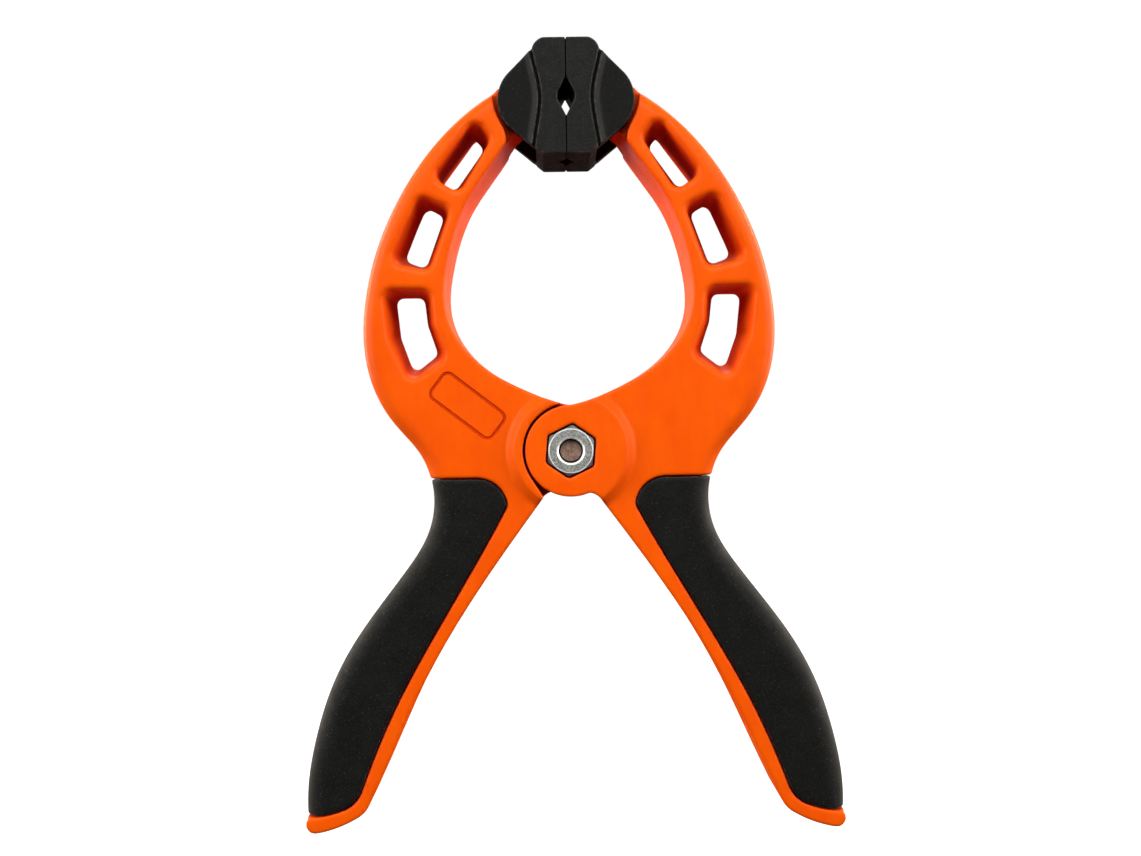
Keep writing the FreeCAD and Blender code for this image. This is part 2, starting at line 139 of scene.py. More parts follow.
# M6 thread, hexagons and their chamfers
THREAD_PITCH = 1.0 * MM
THREAD_OUTER = 2.97 * MM
THREAD_ROOT = 2.42 * MM
THREAD_ROOM = 0.18 * MM
THREAD_FLAT = 0.12
NUT_THREAD_INNER = 2.67 * MM
HEX_APOTHEM = 5.0 * MM
HEX_FACE_RADIUS = 4.9 * MM
HEX_CHAMFER_SLOPE = math.radians(30)
HEX_TURN = math.radians(4.7)
SINK_RADIUS = 3.15 * MM
THREAD_SHADE_RADIUS = 2.74 * MM
BOLT_TIP_RADIUS = 2.3 * MM
TIP_CHAMFER = THREAD_OUTER - BOLT_TIP_RADIUS
HEAD_UNDERSIDE = 8.4 * MM
ROUND_STEPS = 96
THREAD_STEPS = 12

# bush
BUSH_EDGE = 0.35 * MM
BUSH_EDGE_STEPS = 6

# torsion spring
WIRE_RADIUS = 1.1 * MM
COIL_RADIUS = 7.4 * MM
COIL_PITCH = 2.3 * MM
COIL_WHOLE_TURNS = 2
LEG_LENGTH = 44.0 * MM
LEG_ANGLE = math.radians(56.5)
LEG_STEPS = 40
COIL_STEPS = 200
WIRE_SIDES = 20
WIRE_END_ROUND = 0.3


# ---------------------------------------------------------------- camera and studio

def make_camera():
    """Camera a little above the pivot, level, with a slight roll and a shifted frame."""
    data = bpy.data.cameras.new("camera")
    data.sensor_width = SENSOR_WIDTH
    data.lens = SENSOR_WIDTH * PIXELS_PER_MM * CAMERA_DISTANCE / MM / IMAGE_WIDTH
    data.shift_x, data.shift_y = CAMERA_SHIFT
    data.clip_start = 10 * MM
    camera = bpy.data.objects.new("camera", data)
    bpy.context.scene.collection.objects.link(camera)
    camera.location = (PIVOT.x + CAMERA_SIDE, NUT_LOW.y - CAMERA_DISTANCE, PIVOT.z + CAMERA_RISE)
    camera.rotation_euler = (math.radians(90), CAMERA_ROLL, 0)
    bpy.context.scene.camera = camera


def area_light(name, location, size, power, colour):
    """Soft rectangular lamp that looks at the pivot."""
    data = bpy.data.lights.new(name, "AREA")
    data.shape = "RECTANGLE"
    data.size, data.size_y = size
    data.energy = power
    data.color = colour
    lamp = bpy.data.objects.new(name, data)
    bpy.context.scene.collection.objects.link(lamp)
    lamp.location = location
    lamp.rotation_euler = (PIVOT - Vector(location)).to_track_quat("-Z", "Y").to_euler()


def make_world():
    """White surroundings that light the clamp most from behind."""
    world = bpy.data.worlds.new("studio")
    world.use_nodes = True
    tree = world.node_tree
    seen = tree.nodes["Background"]
    seen.inputs["Color"].default_value = WHITE + (1.0,)
    seen.inputs["Strength"].default_value = WORLD_SEEN
    lighting = tree.nodes.new("ShaderNodeBackground")
    lighting.inputs["Color"].default_value = WHITE + (1.0,)
    coordinates = tree.nodes.new("ShaderNodeTexCoord")
    depth = axis_of(tree, coordinates.outputs["Generated"], "Y")
    strength = remap(tree, depth, *WORLD_FADE, *WORLD_STRENGTH)
    tree.links.new(strength, lighting.inputs["Strength"])
    path = tree.nodes.new("ShaderNodeLightPath")
    choice = tree.nodes.new("ShaderNodeMixShader")
    tree.links.new(path.outputs["Is Camera Ray"], choice.inputs["Fac"])
    tree.links.new(lighting.outputs["Background"], choice.inputs[1])
    tree.links.new(seen.outputs["Background"], choice.inputs[2])
    tree.links.new(choice.outputs["Shader"], tree.nodes["World Output"].inputs["Surface"])
    bpy.context.scene.world = world


def make_floor():
    """Floor below the swing of an open handle, seen white but throwing little light back."""
    swing = math.hypot(FRAME_HIGH.x - PIVOT.x, PIVOT.z - FRAME_LOW.z)
    mesh = bpy.data.meshes.new("floor")
    corners = [(x * FLOOR_REACH, y * FLOOR_REACH, 0) for x, y in ((-1, -1), (1, -1), (1, 1), (-1, 1))]
    mesh.from_pydata(corners, [], [(0, 1, 2, 3)])
    floor = bpy.data.objects.new("floor", mesh)
    bpy.context.scene.collection.objects.link(floor)
    floor.location.z = PIVOT.z - swing - FLOOR_ROOM
    material, tree, shader = new_material("floor_paint")
    shader.inputs["Base Color"].default_value = (FLOOR_SEEN_ALBEDO,) * 3 + (1.0,)
    shader.inputs["Roughness"].default_value = 0.9
    shader.inputs["Specular IOR Level"].default_value = 0.0
    glow = tree.nodes.new("ShaderNodeEmission")
    glow.inputs["Strength"].default_value = FLOOR_GLOW
    seen = tree.nodes.new("ShaderNodeAddShader")
    tree.links.new(shader.outputs["BSDF"], seen.inputs[0])
    tree.links.new(glow.outputs["Emission"], seen.inputs[1])
    lighting = tree.nodes.new("ShaderNodeBsdfDiffuse")
    lighting.inputs["Color"].default_value = (FLOOR_LIGHTING_ALBEDO,) * 3 + (1.0,)
    path = tree.nodes.new("ShaderNodeLightPath")
    choice = tree.nodes.new("ShaderNodeMixShader")
    tree.links.new(path.outputs["Is Camera Ray"], choice.inputs["Fac"])
    tree.links.new(lighting.outputs["BSDF"], choice.inputs[1])
    tree.links.new(seen.outputs["Shader"], choice.inputs[2])
    tree.links.new(choice.outputs["Shader"], tree.nodes["Material Output"].inputs["Surface"])
    mesh.materials.append(material)


def make_studio():
    """World, floor and lamps, shown with plain colours."""
    bpy.context.scene.view_settings.view_transform = "Standard"
    make_world()
    make_floor()
    for lamp in LAMPS:
        area_light(*lamp)


# ---------------------------------------------------------------- material helpers

def new_material(name):
    """Material with its node tree and its shader."""
    material = bpy.data.materials.new(name)
    material.use_nodes = True
    return material, material.node_tree, material.node_tree.nodes["Principled BSDF"]


def place_in_piece(tree, stretch=(1.0, 1.0, 1.0)):
    """Coordinates that stay with the piece, in metres, stretched along its own axes."""
    coordinates = tree.nodes.new("ShaderNodeTexCoord")
    mapping = tree.nodes.new("ShaderNodeMapping")
    mapping.inputs["Scale"].default_value = stretch
    tree.links.new(coordinates.outputs["Object"], mapping.inputs["Vector"])
    return mapping.outputs["Vector"]


def noise(tree, place, size, detail=2.0, roughness=0.5):
    """Noise between 0 and 1 whose blobs are about size across."""
    node = tree.nodes.new("ShaderNodeTexNoise")
    node.inputs["Scale"].default_value = 1.0 / size
    node.inputs["Detail"].default_value = detail
    node.inputs["Roughness"].default_value = roughness
    tree.links.new(place, node.inputs["Vector"])
    return node.outputs["Fac"]


def axis_of(tree, place, axis):
    """One coordinate of a place."""
    split = tree.nodes.new("ShaderNodeSeparateXYZ")
    tree.links.new(place, split.inputs["Vector"])
    return split.outputs[axis]


def remap(tree, value, low, high, to_low, to_high):
    """Straight-line map of value from low..high to to_low..to_high, held at its ends."""
    node = tree.nodes.new("ShaderNodeMapRange")
    node.inputs["From Min"].default_value = low
    node.inputs["From Max"].default_value = high
    node.inputs["To Min"].default_value = to_low
    node.inputs["To Max"].default_value = to_high
    tree.links.new(value, node.inputs["Value"])
    return node.outputs["Result"]


def patches(tree, place, size, spread, faint=0.0, full=1.0, detail=2.0, roughness=0.5):
    """Noise patches about size across: faint below the spread of the noise, full above it."""
    return remap(tree, noise(tree, place, size, detail, roughness), *spread, faint, full)


def math_node(tree, operation, first, second):
    """Sum, product or other operation on two numbers or sockets."""
    node = tree.nodes.new("ShaderNodeMath")
    node.operation = operation
    for socket, value in zip(node.inputs, (first, second)):
        if isinstance(value, (int, float)):
            socket.default_value = value
        else:
            tree.links.new(value, socket)
    return node.outputs["Value"]


def blend_colours(tree, factor, first, second):
    """Mix of two colours, each a tuple or the output of another mix."""
    node = tree.nodes.new("ShaderNodeMix")
    node.data_type = "RGBA"
    sockets = {socket.identifier: socket for socket in node.inputs}
    tree.links.new(factor, sockets["Factor_Float"])
    for name, value in (("A_Color", first), ("B_Color", second)):
        if isinstance(value, tuple):
            sockets[name].default_value = value + (1.0,)
        else:
            tree.links.new(value, sockets[name])
    return next(socket for socket in node.outputs if socket.identifier == "Result_Color")


def edges_of(tree, low, high):
    """0 to 1 towards sharp outer edges. With high below low, towards inner corners."""
    geometry = tree.nodes.new("ShaderNodeNewGeometry")
    return remap(tree, geometry.outputs["Pointiness"], low, high, 0.0, 1.0)


def hollows(tree, reach, low, high):
    """0 in the open to 1 inside a hollow, looked for within reach."""
    node = tree.nodes.new("ShaderNodeAmbientOcclusion")
    node.samples = HOLLOW_SAMPLES
    node.inputs["Distance"].default_value = reach
    return remap(tree, node.outputs["AO"], low, high, 0.0, 1.0)


def away_from_pivot(tree):
    """Distance of a point from the pivot axis, in metres."""
    place = place_in_piece(tree)
    across = math_node(tree, "SUBTRACT", axis_of(tree, place, "X"), PIVOT.x)
    upwards = math_node(tree, "SUBTRACT", axis_of(tree, place, "Z"), PIVOT.z)
    square = math_node(tree, "ADD", math_node(tree, "MULTIPLY", across, across),
                       math_node(tree, "MULTIPLY", upwards, upwards))
    return math_node(tree, "SQRT", square, 0.0)


def band(tree, value, low, high, fade):
    """1 between low and high, and 0 further than fade outside them."""
    rise = remap(tree, value, low - fade, low, 0.0, 1.0)
    fall = remap(tree, value, high, high + fade, 1.0, 0.0)
    return math_node(tree, "MULTIPLY", rise, fall)


def bump(tree, height, depth, normal=None):
    """Raise the surface by up to depth where height is 1."""
    node = tree.nodes.new("ShaderNodeBump")
    node.inputs["Strength"].default_value = 1.0
    node.inputs["Distance"].default_value = depth
    tree.links.new(height, node.inputs["Height"])
    if normal is not None:
        tree.links.new(normal, node.inputs["Normal"])
    return node.outputs["Normal"]


def connect(tree, shader, **sockets):
    """Link the shader's main inputs."""
    names = {"colour": "Base Color", "roughness": "Roughness", "normal": "Normal", "metallic": "Metallic"}
    for key, value in sockets.items():
        tree.links.new(value, shader.inputs[names[key]])


# ---------------------------------------------------------------- materials

def orange_nylon():
    """Satin moulded nylon: fine texture, paler edges that are partly rubbed and partly painted highlight,
    painted shade in inner corners and hollows, and a parting line.
    """
    material, tree, shader = new_material("orange_nylon")
    place = place_in_piece(tree)
    mottle = patches(tree, place, 9 * MM, MIDDLE, detail=3.0)
    colour = blend_colours(tree, mottle, (0.96, 0.1, 0.0), (1.0, 0.115, 0.0002))
    flow = patches(tree, place_in_piece(tree, (1.0, 0.25, 0.3)), 3 * MM, (0.4, 0.7), full=0.25, detail=4.0)
    colour = blend_colours(tree, flow, colour, (0.86, 0.062, 0.002))
    # paler convex edges: partly rubbed wear, partly painted highlight
    worn = patches(tree, place, 1.2 * MM, (0.4, 0.7), full=0.5)
    rub_and_highlight = math_node(tree, "MULTIPLY", edges_of(tree, 0.54, 0.66), worn)
    colour = blend_colours(tree, rub_and_highlight, colour, (1.0, 0.2, 0.03))
    # painted shade: inner corners darker, in patches
    corner_shade_patches = patches(tree, place, 2 * MM, BROAD, faint=0.1, full=0.5)
    corner_shade = math_node(tree, "MULTIPLY", edges_of(tree, 0.47, 0.38), corner_shade_patches)
    colour = blend_colours(tree, corner_shade, colour, (0.45, 0.022, 0.001))
    # painted shade in narrow gaps
    narrow_gap_shade = math_node(tree, "MULTIPLY", hollows(tree, 1.2 * MM, 0.88, 0.5), 0.7)
    colour = blend_colours(tree, narrow_gap_shade, colour, (0.5, 0.02, 0.0))
    # painted shade in deep hollows; the same mask also makes them rougher
    deep = math_node(tree, "MULTIPLY", hollows(tree, 12 * MM, 0.68, 0.33), 0.7)
    colour = blend_colours(tree, deep, colour, (0.42, 0.02, 0.0))
    roughness = patches(tree, place, 4 * MM, BROAD, faint=0.34, full=0.46, detail=3.0)
    roughness = math_node(tree, "ADD", roughness, math_node(tree, "MULTIPLY", deep, 0.7))
    grain = bump(tree, noise(tree, place, 0.32 * MM, 2.0, 0.6), 0.016 * MM)
    waves = bump(tree, noise(tree, place, 6 * MM), 0.05 * MM, grain)
    from_middle = math_node(tree, "ABSOLUTE", axis_of(tree, place, "Y"), 0.0)
    parting = bump(tree, remap(tree, from_middle, 0.16 * MM, 0.04 * MM, 0.0, 1.0), 0.05 * MM, waves)
    connect(tree, shader, colour=colour, roughness=roughness, normal=parting)
    shader.inputs["Specular IOR Level"].default_value = 0.12
    return material


def soft_grip():
    """Matt black elastomer with a fine grain and a few pale specks of dust."""
    material, tree, shader = new_material("soft_grip")
    place = place_in_piece(tree)
    mottle = patches(tree, place, 5 * MM, MIDDLE, detail=3.0)
    colour = blend_colours(tree, mottle, (0.003, 0.0029, 0.0022), (0.0055, 0.0054, 0.0043))
    grit = patches(tree, place, 0.36 * MM, (0.42, 0.64), full=0.6, roughness=0.6)
    colour = blend_colours(tree, grit, colour, (0.013, 0.0128, 0.0105))
    specks = patches(tree, place, 0.42 * MM, (0.67, 0.73), full=0.6, detail=1.0)
    colour = blend_colours(tree, specks, colour, (0.05, 0.05, 0.044))
    # paler edges: partly rubbed wear, partly painted highlight
    worn = patches(tree, place, 0.8 * MM, (0.4, 0.7), faint=0.1, full=0.6)
    rub_and_highlight = math_node(tree, "MULTIPLY", edges_of(tree, 0.53, 0.62), worn)
    colour = blend_colours(tree, rub_and_highlight, colour, (0.05, 0.05, 0.048))
    roughness = patches(tree, place, 3 * MM, BROAD, faint=0.56, full=0.7, detail=3.0)
    grain = bump(tree, noise(tree, place, 0.24 * MM, 3.0, 0.65), 0.03 * MM)
    connect(tree, shader, colour=colour, roughness=roughness, normal=grain)
    shader.inputs["Specular IOR Level"].default_value = 0.12
    shader.inputs["Sheen Weight"].default_value = 0.18
    shader.inputs["Sheen Roughness"].default_value = 0.35
    return material


def black_nylon():
    """Charcoal nylon with a spark-eroded grain, edges that are partly rubbed grey and partly painted
    highlight, a painted highlight on the lips, and painted shade on the cheeks.
    """
    material, tree, shader = new_material("black_nylon")
    place = place_in_piece(tree)
    mottle = patches(tree, place, 2.5 * MM, MIDDLE, detail=4.0)
    colour = blend_colours(tree, mottle, (0.0065, 0.0064, 0.0054), (0.0105, 0.0104, 0.009))
    depth = math_node(tree, "ABSOLUTE", axis_of(tree, place, "Y"), 0.0)
    # painted highlight on the lip beside the raised block
    lip_highlight = band(tree, depth, CHEEK_DEPTH + 0.2 * MM, CHEEK_DEPTH + 0.6 * MM, 0.15 * MM)
    lip_highlight = math_node(tree, "MULTIPLY", lip_highlight, 0.8)
    colour = blend_colours(tree, lip_highlight, colour, (0.034, 0.033, 0.03))
    grit = patches(tree, place, 0.36 * MM, (0.42, 0.62), full=0.7, roughness=0.6)
    colour = blend_colours(tree, grit, colour, (0.0195, 0.019, 0.016))
    # painted shade: the cheeks darker than the raised block
    cheek_shade = remap(tree, depth, CHEEK_DEPTH + 0.25 * MM, CHEEK_DEPTH + 0.1 * MM, 0.0, 0.75)
    colour = blend_colours(tree, cheek_shade, colour, (0.003, 0.0029, 0.0022))
    specks = patches(tree, place, 0.27 * MM, (0.66, 0.74), full=0.55, detail=1.0)
    colour = blend_colours(tree, specks, colour, (0.06, 0.058, 0.046))
    # paler edges: partly rubbed wear, partly painted highlight, kept off the gap between the pads
    worn = patches(tree, place, 1.1 * MM, (0.4, 0.65), faint=0.1, full=0.9)
    rub_and_highlight = math_node(tree, "MULTIPLY", edges_of(tree, 0.515, 0.55), worn)
    from_gap = math_node(tree, "ABSOLUTE", axis_of(tree, place, "X"), 0.0)
    rub_and_highlight = math_node(tree, "MULTIPLY", rub_and_highlight, remap(tree, from_gap, 0.5 * MM, 0.8 * MM, 0.0, 1.0))
    colour = blend_colours(tree, rub_and_highlight, colour, (0.08, 0.078, 0.07))
    roughness = patches(tree, place, 1.5 * MM, BROAD, faint=0.46, full=0.62, detail=3.0)
    grain = bump(tree, noise(tree, place, 0.2 * MM, 3.0, 0.7), 0.03 * MM)
    connect(tree, shader, colour=colour, roughness=roughness, normal=grain)
    shader.inputs["Specular IOR Level"].default_value = 0.13
    return material


def nut_steel():
    """Dull zinc plate: speckled grey face, painted highlights round the face and in the countersink, painted
    shade on the corners and in the thread.
    """
    material, tree, shader = new_material("nut_steel")
    place = place_in_piece(tree)
    spangle = patches(tree, place, 0.3 * MM, (0.38, 0.62), detail=3.0, roughness=0.75)
    colour = blend_colours(tree, spangle, (0.17, 0.175, 0.165), (0.62, 0.62, 0.58))
    stain = patches(tree, place, 1.8 * MM, (0.5, 0.72), full=0.5, detail=3.0)
    colour = blend_colours(tree, stain, colour, (0.3, 0.29, 0.25))
    radius = away_from_pivot(tree)
    # painted shade on the chamfer corners
    corner = remap(tree, radius, HEX_FACE_RADIUS + 0.05 * MM, HEX_FACE_RADIUS + 0.15 * MM, 0.0, 0.85)
    colour = blend_colours(tree, corner, colour, (0.1, 0.1, 0.1))
    # painted highlight round the rim of the face
    rim_highlight = band(tree, radius, HEX_FACE_RADIUS - 0.16 * MM, HEX_FACE_RADIUS + 0.02 * MM, 0.05 * MM)
    colour = blend_colours(tree, rim_highlight, colour, (0.95, 0.95, 0.92))
    # painted highlight in the countersink
    sink = band(tree, radius, THREAD_SHADE_RADIUS, SINK_RADIUS, 0.04 * MM)
    colour = blend_colours(tree, sink, colour, (1.0, 0.99, 0.96))
    shade = remap(tree, radius, THREAD_SHADE_RADIUS - 0.05 * MM, THREAD_SHADE_RADIUS, 1.0, 0.0)
    colour = blend_colours(tree, shade, colour, (0.012, 0.011, 0.01))
    roughness = patches(tree, place, 0.7 * MM, BROAD, faint=0.4, full=0.58, detail=3.0)
    marks = bump(tree, noise(tree, place_in_piece(tree, (0.3, 1.0, 1.0)), 0.12 * MM, 3.0), 0.008 * MM)
    dents = bump(tree, noise(tree, place, 0.6 * MM, 2.0), 0.03 * MM, marks)
    connect(tree, shader, colour=colour, roughness=roughness, normal=dents)
    shader.inputs["Metallic"].default_value = 0.55
    return material


def bolt_steel():
    """Bolt with a slightly brown sawn end, painted shade on the thread and a plated head."""
    material, tree, shader = new_material("bolt_steel")
    place = place_in_piece(tree)
    rust = patches(tree, place, 0.7 * MM, (0.38, 0.62), detail=5.0, roughness=0.65)
    colour = blend_colours(tree, rust, (0.46, 0.3, 0.225), (0.27, 0.15, 0.105))
    scale = patches(tree, place, 0.25 * MM, (0.55, 0.7), full=0.7, detail=3.0)
    colour = blend_colours(tree, scale, colour, (0.62, 0.48, 0.41))
    depth = axis_of(tree, place, "Y")
    shank = remap(tree, depth, HEAD_UNDERSIDE - 0.2 * MM, HEAD_UNDERSIDE - 0.1 * MM, 1.0, 0.0)
    radius = away_from_pivot(tree)
    # painted shade on the thread of the shank
    thread_shade = remap(tree, radius, BOLT_TIP_RADIUS, BOLT_TIP_RADIUS + 0.06 * MM, 0.0, 1.0)
    painted_thread_shade = math_node(tree, "MULTIPLY", shank, thread_shade)
    colour = blend_colours(tree, painted_thread_shade, colour, (0.03, 0.027, 0.024))
    plating = remap(tree, shank, 0.0, 1.0, 0.8, 0.0)
    colour = blend_colours(tree, plating, colour, (0.46, 0.46, 0.44))
    roughness = patches(tree, place, 0.6 * MM, BROAD, faint=0.48, full=0.68, detail=3.0)
    saw = bump(tree, noise(tree, place_in_piece(tree, (0.12, 1.0, 1.0)), 0.1 * MM, 2.0), 0.012 * MM)
    pits = bump(tree, noise(tree, place, 0.3 * MM, 3.0), 0.03 * MM, saw)
    connect(tree, shader, colour=colour, roughness=roughness, normal=pits)
    shader.inputs["Metallic"].default_value = 0.6
    return material


def bush_nylon():
    """Plain black nylon with faint turning marks round the bush."""
    material, tree, shader = new_material("bush_nylon")
    place = place_in_piece(tree)
    mottle = patches(tree, place, 1.5 * MM, MIDDLE, detail=3.0)
    colour = blend_colours(tree, mottle, (0.018, 0.018, 0.018), (0.03, 0.03, 0.029))
    roughness = patches(tree, place, 1 * MM, BROAD, faint=0.36, full=0.5, detail=3.0)
    marks = bump(tree, noise(tree, place_in_piece(tree, (0.15, 1.0, 0.15)), 0.12 * MM, 2.0), 0.012 * MM)
    connect(tree, shader, colour=colour, roughness=roughness, normal=marks)
    return material


def spring_steel():
    """Oiled hard-drawn wire: dark grey with lighter streaks and a few brown spots."""
    material, tree, shader = new_material("spring_steel")
    place = place_in_piece(tree)
    streak = patches(tree, place, 0.5 * MM, (0.36, 0.66), detail=4.0, roughness=0.6)
    colour = blend_colours(tree, streak, (0.2, 0.205, 0.215), (0.4, 0.4, 0.41))
    spots = patches(tree, place, 1.6 * MM, (0.58, 0.72), full=0.7, detail=4.0)
    colour = blend_colours(tree, spots, colour, (0.17, 0.1, 0.065))
    roughness = patches(tree, place, 0.9 * MM, BROAD, faint=0.24, full=0.42, detail=3.0)
    drawn = bump(tree, noise(tree, place, 0.15 * MM, 3.0), 0.008 * MM)
    connect(tree, shader, colour=colour, roughness=roughness, normal=drawn)
    shader.inputs["Metallic"].default_value = 1.0
    return material


# ---------------------------------------------------------------- mesh helpers

def new_piece(name, mesh):
    """Object that shows a mesh."""
    piece = bpy.data.objects.new(name, mesh)
    bpy.context.scene.collection.objects.link(piece)
    return piece


def apply_modifiers(piece):
    """Replace the piece's mesh by the result of its modifiers."""
    graph = bpy.context.evaluated_depsgraph_get()
    result = bpy.data.meshes.new_from_object(piece.evaluated_get(graph))
    piece.modifiers.clear()
    piece.data = result


def welded_copy(node):
    """Copy of a CAD node's mesh with its split vertices joined."""
    mesh = frame["nodes"][node].data.copy()
    work = bmesh.new()
    work.from_mesh(mesh)
    bmesh.ops.remove_doubles(work, verts=work.verts, dist=WELD_DISTANCE)
    work.to_mesh(mesh)
    work.free()
    mesh.materials.clear()
    return mesh


def even_mesh(piece, voxel, passes):
    """Even small faces over the whole piece, with its edges slightly rounded."""
    even = piece.modifiers.new("even", "REMESH")
    even.mode = "VOXEL"
    even.voxel_size = voxel
    even.use_smooth_shade = True
    soften = piece.modifiers.new("soften", "SMOOTH")
    soften.factor = SMOOTH_FACTOR
    soften.iterations = passes
    apply_modifiers(piece)


def reduce_triangles(piece, triangles):
    """Fewer triangles on the flat stretches."""
    present = sum(len(polygon.vertices) - 2 for polygon in piece.data.polygons)
    if present > triangles:
        reduce = piece.modifiers.new("reduce", "DECIMATE")
        reduce.ratio = triangles / present
        apply_modifiers(piece)


def turned_copy(piece, name):
    """The same piece turned by half a turn about the upright axis."""
    mesh = piece.data.copy()
    mesh.transform(Matrix.Rotation(math.pi, 4, "Z"))
    return new_piece(name, mesh)


def smooth_with_creases(mesh, crease_degrees):
    """Smooth shading that stops at edges sharper than crease_degrees."""
    mesh.shade_smooth()
    mesh.set_sharp_from_angle(angle=math.radians(crease_degrees))


def finish_piece(piece, material, body, node):
    """Material, body, replaced CAD node and material slot of a rigid piece."""
    piece.data.materials.clear()
    piece.data.materials.append(material)
    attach(piece, body)
    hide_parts(node)


def grid_mesh(name, rings, closed, capped):
    """Mesh over rings of points. closed joins the last ring to the first, capped fills both ends."""
    count = len(rings[0])
    points = [point for ring in rings for point in ring]
    faces = []
    for i in range(len(rings) if closed else len(rings) - 1):
        here = i * count
        there = (i + 1) % len(rings) * count
        for j in range(count):
            after = (j + 1) % count
            faces.append((here + j, here + after, there + after, there + j))
    if capped:
        faces.append(tuple(range(count))[::-1])
        faces.append(tuple(range((len(rings) - 1) * count, len(rings) * count)))
    mesh = bpy.data.meshes.new(name)
    mesh.from_pydata(points, [], faces)
    work = bmesh.new()
    work.from_mesh(mesh)
    bmesh.ops.recalc_face_normals(work, faces=work.faces)
    work.to_mesh(mesh)
    work.free()
    return mesh


def ring_about_pivot(profile, y):
    """Ring of points about the pivot axis. profile gives the radius at an angle, y the depth."""
    ring = []
    for i in range(ROUND_STEPS):
        angle = 2 * math.pi * i / ROUND_STEPS
        radius = profile(angle)
        depth = y(angle) if callable(y) else y
        ring.append((PIVOT.x + radius * math.cos(angle), depth, PIVOT.z + radius * math.sin(angle)))
    return ring


def steady(radius):
    """Profile of a plain round."""
    return lambda angle: radius


# ---------------------------------------------------------------- moulded pieces

def rounded_loop(size, corner, steps=8):
    """Points round a rectangle with round corners, centred on zero."""
    points = []
    for sign_x, sign_z, start in ((1, 1, 0), (-1, 1, 90), (-1, -1, 180), (1, -1, 270)):
        for i in range(steps + 1):
            angle = math.radians(start + 90 * i / steps)
            points.append((sign_x * (size[0] / 2 - corner) + corner * math.cos(angle),
                           sign_z * (size[1] / 2 - corner) + corner * math.sin(angle)))
    return points


def plaque_cutter():
    """Closed ring that cuts the outline of a blank plaque into the front of the left arm."""
    cos = math.cos(PLAQUE_SLOPE)
    sin = math.sin(PLAQUE_SLOPE)

    def ring(growth, y):
        size = (PLAQUE_SIZE[0] + 2 * growth, PLAQUE_SIZE[1] + 2 * growth)
        turned = []
        for x, z in rounded_loop(size, PLAQUE_CORNER + growth):
            across = PLAQUE_CENTRE[0] + x * cos + z * sin
            upwards = PLAQUE_CENTRE[1] - x * sin + z * cos
            turned.append((PIVOT.x + across, y, PIVOT.z + upwards))
        return turned

    half = PLAQUE_GROOVE_WIDTH / 2
    above = -HALF_DEPTH - PLAQUE_GROOVE_DEPTH
    floor = -HALF_DEPTH + PLAQUE_GROOVE_DEPTH
    rings = [ring(-2 * half, above), ring(2 * half, above)]
    rings += [ring(half / 2, floor), ring(-half / 2, floor)]
    return grid_mesh("plaque_cutter", rings, True, False)


def carve(piece, cutter_mesh):
    """Cut a closed mesh out of a piece."""
    cutter = new_piece("cutter", cutter_mesh)
    cut = piece.modifiers.new("carve", "BOOLEAN")
    cut.operation = "DIFFERENCE"
    cut.solver = "EXACT"
    cut.object = cutter
    apply_modifiers(piece)
    bpy.data.objects.remove(cutter)


def make_frames(material):
    """Left frame with its plaque, and the right one turned from it."""
    left = new_piece("left_frame_moulding", welded_copy("left_frame"))
    voxel, passes, triangles = FRAME_MESH
    even_mesh(left, voxel, passes)
    reduce_triangles(left, triangles)
    carve(left, plaque_cutter())
    smooth_with_creases(left.data, MOULDED_CREASE)
    right = turned_copy(left, "right_frame_moulding")
    finish_piece(left, material, "left_half", "left_frame")
    finish_piece(right, material, "right_half", "right_frame")


def make_grips(material):
    """Left grip, and the right one turned from it."""
    left = new_piece("left_grip_sleeve", welded_copy("left_grip"))
    voxel, passes, triangles = GRIP_MESH
    even_mesh(left, voxel, passes)
    reduce_triangles(left, triangles)
    left.data.shade_smooth()
    right = turned_copy(left, "right_grip_sleeve")
    finish_piece(left, material, "left_half", "left_grip")
    finish_piece(right, material, "right_half", "right_grip")


def block_face_tree(mesh):
    """Search tree over the two raised faces of a jaw pad's gripping block."""
    face_depth = PAD_HIGH.y - BLOCK_FACE_BAND
    polygons = [tuple(polygon.vertices) for polygon in mesh.polygons
                if all(abs(mesh.vertices[index].co.y) > face_depth for index in polygon.vertices)]
    return BVHTree.FromPolygons([vertex.co for vertex in mesh.vertices], polygons)


def cheek_height(distance):
    """Height above the flat of a cheek, at a distance from the foot of the raised block."""
    if distance < GROOVE_WIDTH:
        return -GROOVE_DEPTH
    if distance < LIP_START:
        rise = (distance - GROOVE_WIDTH) / (LIP_START - GROOVE_WIDTH)
        return -GROOVE_DEPTH + (LIP_RISE + GROOVE_DEPTH) * rise
    if distance < LIP_END:
        return LIP_RISE * ((LIP_END - distance) / (LIP_END - LIP_START)) ** 2
    return 0.0


def shape_cheeks(mesh, raised):
    """Groove and lip of each cheek along the raised block."""
    for vertex in mesh.vertices:
        side = math.copysign(1.0, vertex.co.y)
        if abs(abs(vertex.co.y) - CHEEK_DEPTH) > CHEEK_BAND:
            continue
        on_face = Vector((vertex.co.x, side * PAD_HIGH.y, vertex.co.z))
        distance = raised.find_nearest(on_face)[3]
        if distance > 0.0:
            vertex.co.y += side * cheek_height(distance)


def close_gap(mesh):
    """Bring the left gripping face up to the right one, with a fine open seam at its front and back."""
    deep = PAD_HIGH.y - SEAM_DEPTH
    for vertex in mesh.vertices:
        if abs(vertex.co.x) < FACE_BAND:
            vertex.co.x = 0.0 if abs(vertex.co.y) < deep else -SEAM_WIDTH / 2


